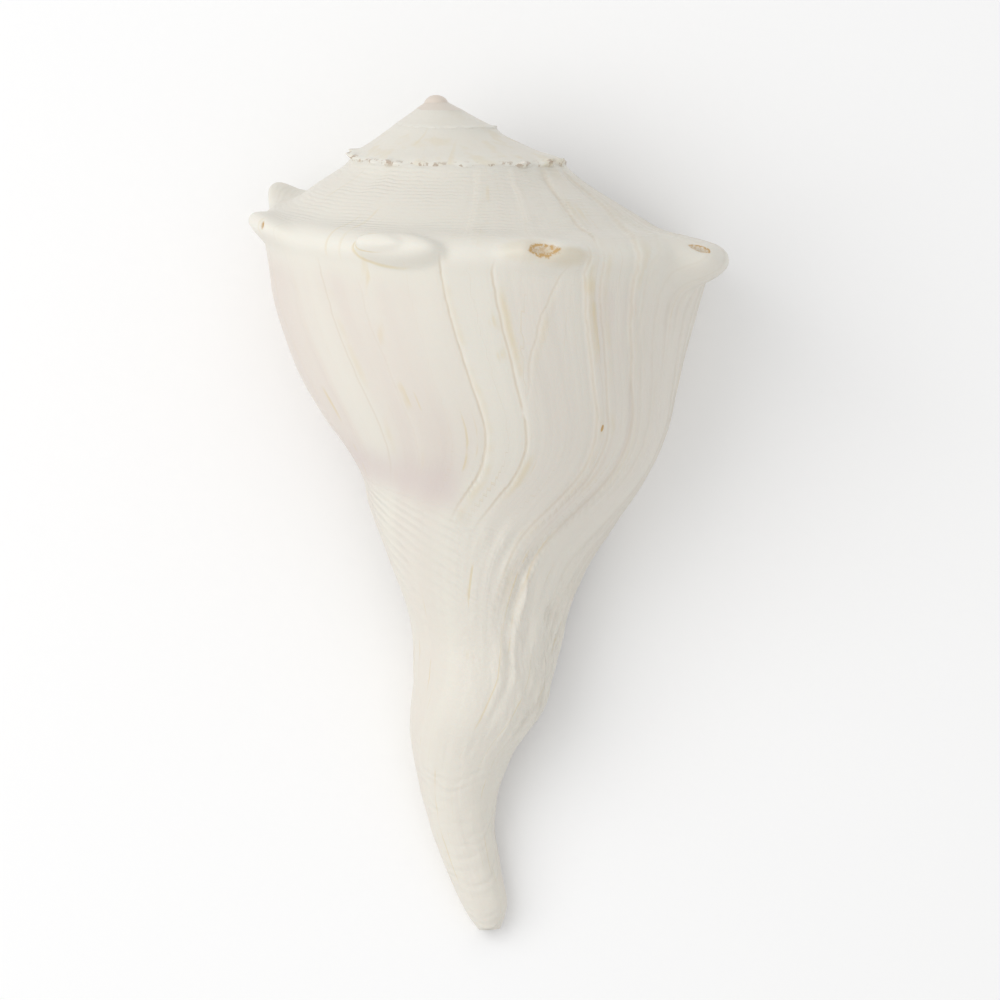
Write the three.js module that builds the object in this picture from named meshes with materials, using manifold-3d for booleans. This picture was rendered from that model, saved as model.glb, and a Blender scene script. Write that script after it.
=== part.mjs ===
// Left-handed (sinistral) knobbed whelk shell, 200 mm from apex to canal tip, lying aperture side down.
// Millimetres, +Z up, +Y towards the spire, +X towards the outer lip.
// The origin is the middle of the footprint.
//
// The shell is first built standing on its own coiling axis, apex up. An outline is given as [radius, drop]
// points, the drop being measured down from the apex, and it is carried round the axis as it grows.

import * as THREE from 'three';
import { mergeVertices } from 'three/addons/utils/BufferGeometryUtils.js';
import Module from 'manifold-3d';

const wasm = await Module();
wasm.setup();

const LENGTH = 200; // along the axis, apex to canal tip
const SLIVER = 0.02; // joins leave no finer triangles than this

// Coiling, in degrees about the axis. The whorl is widest, and ends, at the outer lip.
const LIP_ANGLE = 395;
const LEFT_ANGLE = 180; // where OUTLINE_LEFT stands
const RIGHT_ANGLE = 360; // where OUTLINE_RIGHT stands
const MOUTH_ANGLE = LIP_ANGLE - 360; // where the last whorl starts, inside the mouth
const FIRST_ANGLE = MOUTH_ANGLE - 3 * 360; // the end of the smooth larval shell
const HALF_TURN_GROWTH = 1.46;
const STEP_LAST = 9; // between two sections of the last whorl
const STEP_SPIRE = 15;
const SEGMENT = 135; // of the turn, swept as one solid

// Wall and inside
const WALL = 2.6;
const WALL_LIP = 1.7;
// The columella, round the axis from the spire to where it runs out into the canal wall.
const COLUMELLA = [[0, 5], [3, 14], [5, 30], [7.5, 55], [7, 100], [5.2, 121], [0, 139]];

// Knobs on the shoulder
const KNOB_ANGLES = [-84, -36, 12, 60, 107, 155, 202, 257, 294, 345, 391];
const KNOB_HEIGHT = 5.2; // at the right, and in proportion before that
const KNOB_HALF_WIDTH = 15; // degrees
const CAP_RADIUS = 3; // the larval shell at the apex

// The whorl's outline at the left of the shell: suture, ramp, keel (points 4 to 6), body, base and canal.
const OUTLINE_LEFT = [
  [19.5, 13.3], [22.8, 16], [28, 18.6], [34.5, 21.8], [40.8, 24.2], [43.2, 27.6], [42.4, 31.5],
  [41.9, 38], [41.4, 45.5], [39.4, 54.5], [36.2, 64], [31.1, 73.8], [26.1, 81.3], [23, 88.7],
  [22, 96.5], [18.6, 108.5], [15, 124], [16.2, 137], [15.6, 149], [11.9, 158], [9.2, 167], [7.5, 176],
  [6.5, 185], [5.2, 194], [3.1, 199],
];
// The same points half a turn on.
const OUTLINE_RIGHT = [
  [28.6, 19.2], [33.3, 23], [40.8, 28.5], [50, 34.4], [58.6, 38.2], [62.2, 42.8], [60.6, 49],
  [58, 57], [55.1, 65.2], [52.3, 74.5], [49.3, 83.9], [43.6, 94], [35.1, 104.4], [27.6, 114],
  [22, 124], [18.9, 132], [16.9, 139], [16.4, 144], [15.6, 149], [11.9, 158], [9.2, 167], [7.5, 176],
  [6.5, 185], [5.2, 194], [3.1, 199],
];
// The columella that the mouth shows, for the points from BASE_POINT on.
const BASE_POINT = 12;
const OUTLINE_COLUMELLA = [
  [17.5, 60], [12.5, 67], [9.6, 77], [8.6, 92], [7.8, 112], [7, 130], [6.3, 144], [5.6, 156], [5, 166],
  [4.4, 175.5], [3.9, 184.5], [3.3, 193], [2.4, 198],
];
const CANAL_POINT = 17;
const CANAL_TURN = 95; // degrees in which the canal wall comes round from the columella to its full width
const CANAL_FLOOR_START = 130; // where the inside of the canal opens, and the turn it takes
const CANAL_FLOOR_TURN = 100;

// Sideways bend of the canal: [drop, offset to the right].
const CANAL_BEND = [
  [112, 0], [125, 0.7], [132, 1.7], [139, 2.1], [149, -0.2], [158, -3.7], [167, -5.2], [176, -5],
  [185, -3.1], [194, -0.8], [200, -0.2],
];

// How the loose shell rests, in degrees: rolled about its axis, with its spire end raised.
const REST_ROLL = 5.9;
const REST_SLOPE = 11.4;
const FOOT_CUT = 0.32; // the worn flats it rests on

const radians = THREE.MathUtils.degToRad;
const { lerp, smoothstep } = THREE.MathUtils;
const mix = (a, b, w) => [lerp(a[0], b[0], w), lerp(a[1], b[1], w)];
const growth = (angle) => HALF_TURN_GROWTH ** ((angle - LEFT_ANGLE) / 180);

/** How far the canal's middle lies to the right of the axis at a drop. */
function canalBend(drop) {
  if (drop <= CANAL_BEND[0][0]) return 0;
  for (let i = 1; i < CANAL_BEND.length; i += 1) {
    const [[low, from], [high, to]] = [CANAL_BEND[i - 1], CANAL_BEND[i]];
    if (drop <= high) return lerp(from, to, smoothstep(drop, low, high));
  }
  return CANAL_BEND.at(-1)[1];
}

/** Height of the shoulder's knobs at an angle. */
function knob(angle) {
  const near = Math.min(...KNOB_ANGLES.map((at) => Math.abs(angle - at)));
  const shape = Math.cos(Math.PI / 2 * Math.min(near / KNOB_HALF_WIDTH, 1)) ** 2;
  return KNOB_HEIGHT * shape * growth(angle) / growth(RIGHT_ANGLE);
}

/** The outline of the whorl at an angle, from the suture down. */
function outline(angle) {
  const size = growth(angle);
  const wide = (size - 1) / (growth(RIGHT_ANGLE) - 1);
  const points = OUTLINE_LEFT.map((left, i) => {
    if (angle >= LEFT_ANGLE) return mix(left, OUTLINE_RIGHT[i], wide);
    if (i < BASE_POINT) return left.map((value) => value * size);
    const inner = OUTLINE_COLUMELLA[i - BASE_POINT];
    if (angle < MOUTH_ANGLE) return inner.map((value) => value * size / growth(MOUTH_ANGLE));
    const turn = i < CANAL_POINT ? LEFT_ANGLE - MOUTH_ANGLE : CANAL_TURN;
    return mix(inner, left, smoothstep(angle, MOUTH_ANGLE, MOUTH_ANGLE + turn));
  });
  const height = knob(angle);
  [[3, 0.15], [4, 0.75], [5, 1], [6, 0.6], [7, 0.12]].forEach(([i, share]) => {
    points[i][0] += height * share;
  });
  points[4][1] -= height * 0.15;
  return points;
}

/** The inside of the whorl at an angle: the outline set in by the wall, down to the point `last`. */
function inside(angle, last) {
  const points = outline(angle).slice(0, last + 1);
  const size = Math.min(growth(angle), 1);
  const wall = lerp(WALL, WALL_LIP, smoothstep(angle, LIP_ANGLE - 40, LIP_ANGLE)) * size;
  return points.map((point, i) => {
    const [r0, d0] = points[Math.max(i - 1, 0)];
    const [r1, d1] = points[Math.min(i + 1, last)];
    const long = Math.hypot(r1 - r0, d1 - d0);
    const [r, d] = [point[0] - wall * (d1 - d0) / long, point[1] + wall * (r1 - r0) / long];
    if (i < CANAL_POINT - 2) return [Math.max(r, 1), d];
    const open = smoothstep(angle, CANAL_FLOOR_START, CANAL_FLOOR_START + CANAL_FLOOR_TURN);
    return [lerp(0.6, Math.max(point[0] - wall, 1.2), open), point[1]];
  });
}

/** A solid from closed outlines at a run of angles. Points at radius 0 lie on the axis. */
function sweep(angles, closedOutline) {
  const positions = [];
  const place = (angle, [radius, drop]) => {
    const turn = radians(angle);
    return positions.push(radius * Math.cos(turn), radius * Math.sin(turn), -drop) / 3 - 1;
  };
  const flat = angles.map(closedOutline);
  const onAxis = flat[0].map((point) => (point[0] === 0 ? place(0, point) : null));
  const rings = flat.map((points, k) => points.map((p, i) => onAxis[i] ?? place(angles[k], p)));
  const faces = [];
  const face = (a, b, c) => {
    if (a !== b && b !== c && c !== a) faces.push(a, b, c);
  };
  rings.slice(1).forEach((ring, k) => ring.forEach((c, i) => {
    const before = rings[k];
    const next = (i + 1) % ring.length;
    face(before[i], before[next], ring[next]);
    face(before[i], ring[next], c);
  }));
  const cap = (k, flip) => {
    const contour = flat[k].map(([radius, drop]) => new THREE.Vector2(radius, drop));
    const triangles = THREE.ShapeUtils.triangulateShape(contour, []);
    const [largest] = triangles.map((corners) => THREE.ShapeUtils.area(corners.map((i) => contour[i])))
      .sort((a, b) => Math.abs(b) - Math.abs(a));
    const same = largest * THREE.ShapeUtils.area(contour) > 0;
    triangles.forEach(([a, b, c]) => {
      if (same !== flip) face(rings[k][a], rings[k][b], rings[k][c]);
      else face(rings[k][a], rings[k][c], rings[k][b]);
    });
  };
  cap(0, true);
  cap(rings.length - 1, false);
  return solid(positions, faces);
}

/** A manifold from plain positions and triangles. */
function solid(positions, triangles) {
  return new wasm.Manifold(new wasm.Mesh({
    numProp: 3, vertProperties: new Float32Array(positions), triVerts: new Uint32Array(triangles),
  }));
}

/** A manifold from a three.js geometry. */
function fromGeometry(geometry) {
  geometry.deleteAttribute('normal');
  geometry.deleteAttribute('uv');
  const merged = mergeVertices(geometry, 1e-4);
  return solid(merged.attributes.position.array, merged.index.array);
}

/** A three.js geometry from a manifold. */
function toGeometry(manifold) {
  const { vertProperties, triVerts } = manifold.getMesh();
  return new THREE.BufferGeometry()
    .setAttribute('position', new THREE.BufferAttribute(vertProperties.slice(), 3))
    .setIndex(new THREE.BufferAttribute(triVerts.slice(), 1));
}

/** The angles from one to another in even steps. */
function steps(from, to, step) {
  const count = Math.round((to - from) / step);
  return Array.from({ length: count + 1 }, (_, i) => lerp(from, to, i / count));
}

/** The union of the sweeps that make up a run of the coil, each overlapping the one before by a step. */
function coil(from, to, step, closedOutline) {
  let whole = sweep(steps(from, Math.min(from + SEGMENT, to), step), closedOutline(from));
  for (let at = from + SEGMENT; at < to; at += SEGMENT) {
    const start = at - step;
    whole = whole.add(sweep(steps(start, Math.min(at + SEGMENT, to), step), closedOutline(start)));
  }
  return whole;
}

// Solid whorls, closed against the axis.
const spireOutline = (start) => (angle) => {
  const points = outline(angle).slice(0, BASE_POINT + 2);
  return [[0, outline(start)[0][1] * 1.02], ...points, [0, outline(start)[BASE_POINT + 1][1]]];
};
const lastOutline = (start) => (angle) => [
  [0, outline(start)[0][1] + 6], ...outline(angle), [0, 199.5],
];

// The inside of a spire whorl, and of the last whorl with the canal.
const spireInside = (start) => (angle) => {
  const size = growth(angle);
  return [
    [0, 24 * growth(start)], [19.5 * size, 19 * size], ...inside(angle, BASE_POINT).slice(2),
    [0, 84 * growth(start)],
  ];
};
const lastInside = (start) => (angle) => {
  const [radius, drop] = outline(angle)[0];
  return [
    [0, outline(start)[0][1] + 7], [radius * 0.95, drop + 5],
    ...inside(angle, OUTLINE_LEFT.length - 1).slice(1), [0, 203],
  ];
};

const earlySpire = coil(FIRST_ANGLE, MOUTH_ANGLE - 360, STEP_SPIRE, spireOutline);
const lateSpire = coil(MOUTH_ANGLE - 360 - STEP_SPIRE, MOUTH_ANGLE + STEP_SPIRE, STEP_SPIRE, spireOutline);
const lastWhorl = coil(MOUTH_ANGLE, LIP_ANGLE, STEP_LAST, lastOutline);
const spire = earlySpire.add(lateSpire);
const cap = new THREE.SphereGeometry(CAP_RADIUS, 16, 10).rotateX(Math.PI / 2).translate(0, 0, -CAP_RADIUS);

const columella = fromGeometry(
  new THREE.LatheGeometry(COLUMELLA.map(([r, d]) => new THREE.Vector2(r, -d)).reverse(), 24, 0.1)
    .rotateX(Math.PI / 2),
);
const lastHollow = coil(MOUTH_ANGLE, LIP_ANGLE + STEP_LAST, STEP_LAST, lastInside).subtract(spire);
const upperHollow = coil(MOUTH_ANGLE - 270, MOUTH_ANGLE + STEP_SPIRE, STEP_SPIRE, spireInside);
const spireHollow = upperHollow.subtract(earlySpire);
const hollow = lastHollow.add(spireHollow).subtract(columella);
const standing = spire.add(lastWhorl).add(fromGeometry(cap)).subtract(hollow).simplify(SLIVER);

// Bend the canal, then lay the shell down on its lip, its shoulder and the side of its canal.
const lying = toGeometry(standing);
const position = lying.attributes.position;
for (let i = 0; i < position.count; i += 1) {
  position.setX(i, position.getX(i) + canalBend(-position.getZ(i)));
}
lying.rotateZ(radians(-REST_ROLL)).rotateX(radians(REST_SLOPE - 90)).computeBoundingBox();
const { min, max } = lying.boundingBox;
lying.translate(-(min.x + max.x) / 2, -(min.y + max.y) / 2, -min.z - FOOT_CUT);
const floor = new THREE.BoxGeometry(2 * LENGTH, 2 * LENGTH, 20).translate(0, 0, -10);
const rested = solid(position.array, lying.index.array).subtract(fromGeometry(floor)).simplify(SLIVER);

const material = new THREE.MeshStandardMaterial({ color: 0xe3ddd0, roughness: 0.45, metalness: 0 });
const shell = new THREE.Mesh(toGeometry(rested), material);
shell.name = 'whelk_shell';
const whelk = new THREE.Group();
whelk.add(shell);

export default whelk;
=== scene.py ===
"""A left-handed knobbed whelk shell lying mouth down on a pale studio floor.

The shell is described standing on its coiling axis, apex up. A whorl outline, given as (radius, drop) points in
millimetres with the drop measured down from the apex, is carried round the axis as it grows. The finished surface is
then bent at the canal and laid down in its rest pose.
"""

import logging
import math
from dataclasses import dataclass, field
from enum import Enum
from functools import reduce
from typing import Optional, Sequence

import bpy
import numpy as np
from bpy.types import Material, Mesh, Node, NodeTree, Object
from bpy.types import NodeSocket as Socket
from mathutils import Matrix, Vector


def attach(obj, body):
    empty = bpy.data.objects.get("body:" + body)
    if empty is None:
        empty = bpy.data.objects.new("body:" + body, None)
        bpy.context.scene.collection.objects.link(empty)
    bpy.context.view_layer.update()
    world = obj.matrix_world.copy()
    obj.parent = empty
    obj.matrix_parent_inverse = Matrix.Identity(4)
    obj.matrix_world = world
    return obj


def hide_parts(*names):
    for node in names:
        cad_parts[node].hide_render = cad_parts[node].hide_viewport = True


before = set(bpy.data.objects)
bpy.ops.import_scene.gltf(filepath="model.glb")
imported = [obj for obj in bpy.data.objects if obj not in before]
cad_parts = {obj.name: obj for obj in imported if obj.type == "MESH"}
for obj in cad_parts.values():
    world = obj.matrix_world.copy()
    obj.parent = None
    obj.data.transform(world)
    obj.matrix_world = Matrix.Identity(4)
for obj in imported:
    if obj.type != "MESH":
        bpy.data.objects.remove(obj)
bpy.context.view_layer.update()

LOG = logging.getLogger("whelk")
Array = np.ndarray
Colour = tuple[int, int, int]
MM = 0.001


def smoothstep(value: Array, low: float, high: float) -> Array:
    """Smooth rise from 0 at low to 1 at high."""
    t = np.clip((np.asarray(value, float) - low) / (high - low), 0.0, 1.0)
    return t * t * (3.0 - 2.0 * t)


def bell(value: Array, middle: float, half_width: float) -> Array:
    """A bell curve, 1 at middle and 1/e at half_width from it."""
    return np.exp(-(((value - middle) / half_width) ** 2))


def lattice_noise(u: Array, v: Array, seed: int) -> Array:
    """Repeatable smooth noise on a unit lattice.

    Args:
        u: First coordinate.
        v: Second coordinate.
        seed: Picks one of the noises.

    Returns:
        Values between -1 and 1.
    """
    iu, iv = np.floor(u).astype(np.int64), np.floor(v).astype(np.int64)
    fu, fv = u - iu, v - iv
    fu, fv = fu * fu * (3 - 2 * fu), fv * fv * (3 - 2 * fv)

    def corner(du: int, dv: int) -> Array:
        """The random value at one corner of each cell."""
        mixed = ((iu + du) * 374761393 + (iv + dv) * 668265263 + seed * 69069) & 0xFFFFFFFF
        mixed = ((mixed ^ (mixed >> 13)) * 1274126177) & 0xFFFFFFFF
        return ((mixed ^ (mixed >> 16)) & 0xFFFF) / 32767.5 - 1.0

    near = corner(0, 0) * (1 - fu) + corner(1, 0) * fu
    far = corner(0, 1) * (1 - fu) + corner(1, 1) * fu
    return near * (1 - fv) + far * fv


def layered_noise(u: Array, v: Array, seed: int, octaves: int = 3) -> Array:
    """Sum of lattice noises, each twice as fine and half as strong.

    Args:
        u: First coordinate.
        v: Second coordinate.
        seed: Picks one of the noises.
        octaves: How many layers.

    Returns:
        Values of about -1 to 1.
    """
    total = np.zeros(np.broadcast(u, v).shape)
    for k in range(octaves):
        total = total + lattice_noise(u * 2**k, v * 2**k, seed + 31 * k) / 2**k
    return total / 1.6


@dataclass(frozen=True)
class Coil:
    """How the whorls wind and widen, in degrees round the axis and millimetres.

    The coil runs from `first` to `lip`. `left` and `right` are where the two given outlines stand. From `base_point`
    on, the outline starts from the columella inside the mouth, and from `canal_point` on it is the canal, which takes
    `canal_turn` to come round. The inside of the canal opens from `channel_start` over `channel_turn`.
    """

    lip: float = 395.0
    left: float = 180.0
    right: float = 360.0
    first: float = -1045.0
    half_turn_growth: float = 1.46
    wall: float = 2.4
    lip_wall: float = 1.3
    base_point: int = 12
    canal_point: int = 17
    canal_turn: float = 95.0
    channel_start: float = 130.0
    channel_turn: float = 100.0
    outline_left: Sequence[tuple[float, float]] = (
        (20.1, 12.6), (22.8, 15.4), (28, 18.4), (34.5, 21.8), (40.8, 24.2), (43.2, 27.6), (42.4, 31.5),
        (41.9, 38), (41.4, 45.5), (39.4, 54.5), (36.2, 64), (31.1, 73.8), (26.1, 81.3), (23, 88.7),
        (22, 96.5), (18.6, 108.5), (15, 124), (16.2, 137), (15.6, 149), (11.9, 158), (9.2, 167),
        (7.5, 176), (6.5, 185), (5.2, 194.3), (2.6, 199.9),
    )
    outline_right: Sequence[tuple[float, float]] = (
        (29.4, 18.3), (33.3, 23), (40.8, 28.5), (50, 34.4), (58.6, 38.2), (62.2, 42.8), (60.6, 49),
        (58, 57), (55.1, 65.2), (52.3, 74.5), (49.3, 83.9), (43.6, 94), (35.1, 104.4), (27.6, 114),
        (22, 124), (18.9, 132), (16.9, 139), (16.4, 144), (15.6, 149), (11.9, 158), (9.2, 167),
        (7.5, 176), (6.5, 185), (5.2, 194.3), (2.6, 199.9),
    )
    outline_columella: Sequence[tuple[float, float]] = (
        (17.5, 60), (12.5, 67), (9.6, 77), (8.6, 92), (7.8, 112), (7, 130), (6.3, 144), (5.6, 156),
        (5, 166), (4.4, 175.5), (3.9, 184.5), (3.3, 193.3), (2.4, 198.6),
    )
    canal_bend: Sequence[tuple[float, float]] = (
        (112, 0), (125, 0.7), (132, 1.7), (139, 2.1), (149, -0.2), (158, -3.7), (167, -5.2),
        (176, -5), (185, -3.1), (194, -0.8), (200, -0.2),
    )

    @property
    def mouth(self) -> float:
        """The angle at which the last whorl starts, inside the mouth."""
        return self.lip - 360.0

    def growth(self, angle: Array) -> Array:
        """Size of the whorl at an angle, against its size at the left."""
        return self.half_turn_growth ** ((np.asarray(angle, float) - self.left) / 180.0)

    def outlines(self, angles: Array) -> Array:
        """The outline's points at each angle.

        Args:
            angles: Angles round the axis, in degrees.

        Returns:
            Array of angle by point by (radius, drop).
        """
        left = np.array(self.outline_left)[None]
        right = np.array(self.outline_right)[None]
        size = self.growth(angles)[:, None, None]
        wide = (size - 1.0) / (float(self.growth(self.right)) - 1.0)
        grown = left + (right - left) * wide
        small = left * size
        even = left[:, :1] + (left[:, 5:6] - left[:, :1]) * np.linspace(0, 1, 6)[None, :, None]
        worn = 1 - smoothstep(angles, -200, 40)[:, None, None]
        small[:, :6] += 0.8 * worn * (even * size - small[:, :6])
        inner = np.array(self.outline_columella)[None]
        deep = inner * size / float(self.growth(self.mouth))
        turns = np.full(inner.shape[1], self.left - self.mouth)
        turns[self.canal_point - self.base_point:] = self.canal_turn
        share = smoothstep(angles[:, None], self.mouth, self.mouth + turns[None])[..., None]
        joined = inner + (left[:, self.base_point:] - inner) * share
        lower = np.where(angles[:, None, None] < self.mouth, deep, joined)
        small = np.concatenate([small[:, :self.base_point], lower], axis=1)
        return np.where(angles[:, None, None] >= self.left, grown, small)

    def insides(self, angles: Array) -> Array:
        """The outline's points set in by the wall, for the hollow of the whorl.

        Args:
            angles: Angles round the axis, in degrees.

        Returns:
            Array of angle by point by (radius, drop).
        """
        points = self.outlines(angles)
        along = np.gradient(points, axis=1)
        along /= np.linalg.norm(along, axis=2, keepdims=True)
        size = np.minimum(self.growth(angles), 1.0)
        wall = self.wall + (self.lip_wall - self.wall) * smoothstep(angles, self.lip - 30, self.lip)
        wall = (wall * size)[:, None]
        radius = points[..., 0] - wall * along[..., 1]
        drop = points[..., 1] + wall * along[..., 0]
        opened = smoothstep(angles, self.channel_start, self.channel_start + self.channel_turn)[:, None]
        channel = 0.6 + (np.maximum(points[..., 0] - wall, 1.2) - 0.6) * opened
        low = np.arange(points.shape[1])[None] >= self.canal_point - 2
        radius = np.where(low, channel, np.maximum(radius, 1.0))
        drop = np.where(low, points[..., 1], drop)
        return np.stack([radius, drop], axis=2)

    def bend(self, drop: Array) -> Array:
        """How far the canal's middle lies to the right of the axis at each drop."""
        table = np.array(self.canal_bend)
        return np.interp(drop, table[:, 0], table[:, 1])


@dataclass(frozen=True)
class RestPose:
    """How the loose shell lies.

    It is turned about its axis by `roll` degrees, its spire end is raised by `slope` degrees, and it is set over the
    origin by `shift` millimetres.
    """

    roll: float = 5.9
    slope: float = 11.4
    shift: tuple[float, float, float] = (-9.439, 97.821, 42.95)

    def rotation(self) -> Array:
        """The 3 by 3 rotation from the standing shell to the lying one."""
        turn = Matrix.Rotation(math.radians(self.slope - 90), 3, "X") @ Matrix.Rotation(
            math.radians(-self.roll), 3, "Z"
        )
        return np.array(turn)

    def place(self, points: Array) -> Array:
        """Standing points, in millimetres, moved to the lying pose."""
        return points @ self.rotation().T + np.array(self.shift)


@dataclass(frozen=True)
class Knob:
    """One blunt knob on the shoulder.

    `at` and `point` are its middle, as an angle and an outline point. `left` and `right` are its half widths in
    degrees on its older and younger side, `tall` its half height in outline points, `height` and `lift` how far it
    stands out and up in mm, and `block` how flat its top and how steep its sides are.
    """

    at: float
    height: float
    left: float = 9.0
    right: float = 11.0
    tall: float = 0.8
    lift: float = 0.0
    block: float = 3.0
    point: float = 4.85

    def shape(self, angles: Array, points: Array) -> Array:
        """Its height at each place.

        Args:
            angles: Angle of each place.
            points: Outline point of each place.

        Returns:
            Heights, 1 at its middle.
        """
        away = angles - self.at
        away = np.where(away < 0, away / self.left, away / self.right)
        reach = np.hypot(away, (points - self.point) / self.tall)
        return np.exp(-(reach**self.block))


@dataclass(frozen=True)
class Edge:
    """An old edge of the lip that stands across the whorl.

    `at` is its growth angle at its top and `slant` how much that changes for each outline point below. `rise` and
    `fall` are how fast it climbs and sinks, in mm along the growth, `top` and `bottom` the outline points between
    which it shows, and `line` how strongly a crack is drawn along it.
    """

    at: float
    height: float
    rise: float = 0.5
    fall: float = 6.0
    top: float = 5.2
    bottom: float = 17.0
    waver: float = 0.5
    slant: float = 0.0
    line: float = 0.3


@dataclass(frozen=True)
class Pit:
    """A small hole or dent: angle, outline point, half size in mm along and down, and depth in mm."""

    at: float
    point: float
    long: float
    tall: float
    depth: float


@dataclass(frozen=True)
class Relief:
    """Everything that grew or wore on the outside of the whorls.

    `nodule_spacing` is in degrees and `nodule_height` in mm. `lip_shape` gives how many degrees the lip's edge lags
    behind the shoulder at each outline point, and `knob_sweep` how far the growth lines sweep back above the knob at
    the right. `point_mm` is the length of an outline point at the shoulder.
    """

    knobs: Sequence[Knob] = (
        Knob(156, 3.2, 8, 9, 0.8, 5.0, 2.6, 4.6), Knob(200, 3.4, 13, 16, 0.9, 2.4, 3.6, 4.8),
        Knob(256.5, 4.2, 11.0, 12.5, 0.9, 1.6, 9.0, 4.92), Knob(252, 0.9, 5.5, 7, 0.5, 0.4, 8.0, 4.8),
        Knob(295, 3.0, 10, 12, 0.85, 1.0, 4.0, 4.9), Knob(346, 7.4, 9, 9, 1.1, -0.8, 4.0, 5.0),
        Knob(391, 5.5, 9, 9), Knob(107, 3.8, 9, 12, 0.75, 1.4), Knob(60, 3.4, 9, 12, 0.75, 1.2),
    )
    nodule_spacing: float = 15.0
    nodule_height: float = 5.5
    edges: Sequence[Edge] = (
        Edge(269, 0.85, 0.45, 12, 5.4, 13.0, 0.4, 0, 0.6), Edge(282.5, 0.42, 0.4, 6, 5.6, 13, 0.5, 0, 0.6),
        Edge(301, 0.25, 0.3, 5, 5.8, 9.6, 1.0, -4.6, 0.35), Edge(307, 0.6, 0.8, 3.2, 4.8, 15, 0.5, 0, 0.35),
        Edge(310, 0.65, 0.5, 4, 0.3, 4.7, 0.6, 0, 0.35), Edge(311.5, 0.35, 0.6, 3, 5, 13, 0.6, 0, 0.3),
        Edge(321.5, 0.75, 0.8, 4, 0.6, 15.5, 0.6, 0, 0.3), Edge(325, 0.4, 0.7, 3, 0.6, 13, 0.8, 0, 0.1),
        Edge(331, 0.3, 0.9, 4, 0.6, 12, 1.0, 0, 0.1), Edge(337, 0.3, 0.7, 3, 0.6, 9, 0.6, 0, 0.1),
        Edge(342, 0.3, 0.7, 3, 0.6, 8, 0.6, 0, 0.1), Edge(348, 0.35, 0.8, 4, 0.6, 15.5, 0.6, 0, 0.1),
        Edge(354, 0.4, 0.8, 4, 0.6, 15.5, 0.6, 0, 0.1), Edge(361, 0.5, 0.9, 4, 0.6, 15.5, 0.6, 0, 0.1),
        Edge(370, 0.5, 0.9, 4, 0.6, 15.5, 0.6, 0, 0.1), Edge(381, 0.5, 0.9, 4, 0.6, 15.5, 0.6, 0, 0.1),
        Edge(292, 0.25, 0.8, 3, 0.4, 4.4, 0.8, 0, 0.1), Edge(275, 0.25, 0.8, 3, 0.4, 4.4, 0.8, 0, 0.1),
        Edge(244, 0.12, 0.6, 6, 6.5, 12, 0.7, 0, 0.12), Edge(231, 0.12, 0.6, 6, 6, 12.3, 0.7, 0, 0.3),
        Edge(214, 0.10, 0.8, 6, 4, 12.3, 0.8, 0, 0.1), Edge(198, 0.14, 0.8, 6, 5.5, 12.3, 0.8, 0, 0.1),
    )
    pits: Sequence[Pit] = (
        Pit(294, 4.9, 3.0, 2.2, 1.7), Pit(340, 4.6, 0.9, 0.7, 0.9), Pit(318.9, 10.1, 0.3, 0.5, 0.5),
        Pit(208, 4.8, 0.5, 1.4, 0.8),
    )
    lip_shape: Sequence[tuple[float, float]] = (
        (0, 17), (1, 14), (2, 9), (3, 4.5), (4, 1.5), (5, 0), (6, 0), (7, 1), (8, 3), (9, 6), (10, 10),
        (11, 13), (12, 6), (13, -5), (14, -12), (15, -17), (16, -25), (17, -31), (18, -40), (19, -50),
        (20, -56), (21, -58), (22, -60), (24, -62),
    )
    knob_sweep: float = 10.0
    point_mm: float = 5.5

    def growth_angle(self, angles: Array, points: Array) -> Array:
        """The angle at which a place on the whorl was the edge of the lip, read at the shoulder.

        Args:
            angles: Angles round the axis, in degrees.
            points: Places along the outline, counted in its points.

        Returns:
            The growth angle of each place.
        """
        table = np.array(self.lip_shape)
        shifts = [np.interp(points + shift, table[:, 0], table[:, 1]) for shift in (-0.6, -0.3, 0, 0.3, 0.6)]
        sweep = self.knob_sweep * smoothstep(angles, 318, 342) * (1 - smoothstep(points, 4.7, 7.2))
        return angles - sum(shifts) / len(shifts) - sweep

    def push(self, angles: Array, points: Array, coil: Coil) -> tuple[Array, Array]:
        """How far the knobs and nodules push the outline out and down.

        Args:
            angles: Angle of each place.
            points: Outline point of each place.
            coil: How the whorls widen.

        Returns:
            Millimetres outwards and millimetres down.
        """
        out, down = np.zeros_like(points), np.zeros_like(points)
        for knob in self.knobs:
            shape = knob.shape(angles, points)
            out += knob.height * shape
            down -= knob.lift * shape
        turn = angles / self.nodule_spacing + 0.55 * lattice_noise(angles / 21, angles * 0, 9)
        saw = turn - np.floor(turn)
        comb = np.where(saw < 0.35, saw / 0.35, (1 - saw) / 0.65) ** 1.5
        uneven = np.clip(0.7 + 0.8 * lattice_noise(angles / self.nodule_spacing, angles * 0, 5), 0.1, 2)
        size = np.clip(coil.growth(angles) / float(coil.growth(0.0)), 0, 1.3) ** 2.2
        worn = 1 - smoothstep(angles, 25, 55)
        chipped = 1 + 0.8 * layered_noise(angles / 2.6, points * 2.2, 13, 2)
        small = comb * uneven * chipped * self.nodule_height * size * worn * bell(points, 4.85, 0.5)
        out += small * 0.55
        down -= small * 0.25
        return out, down

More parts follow.
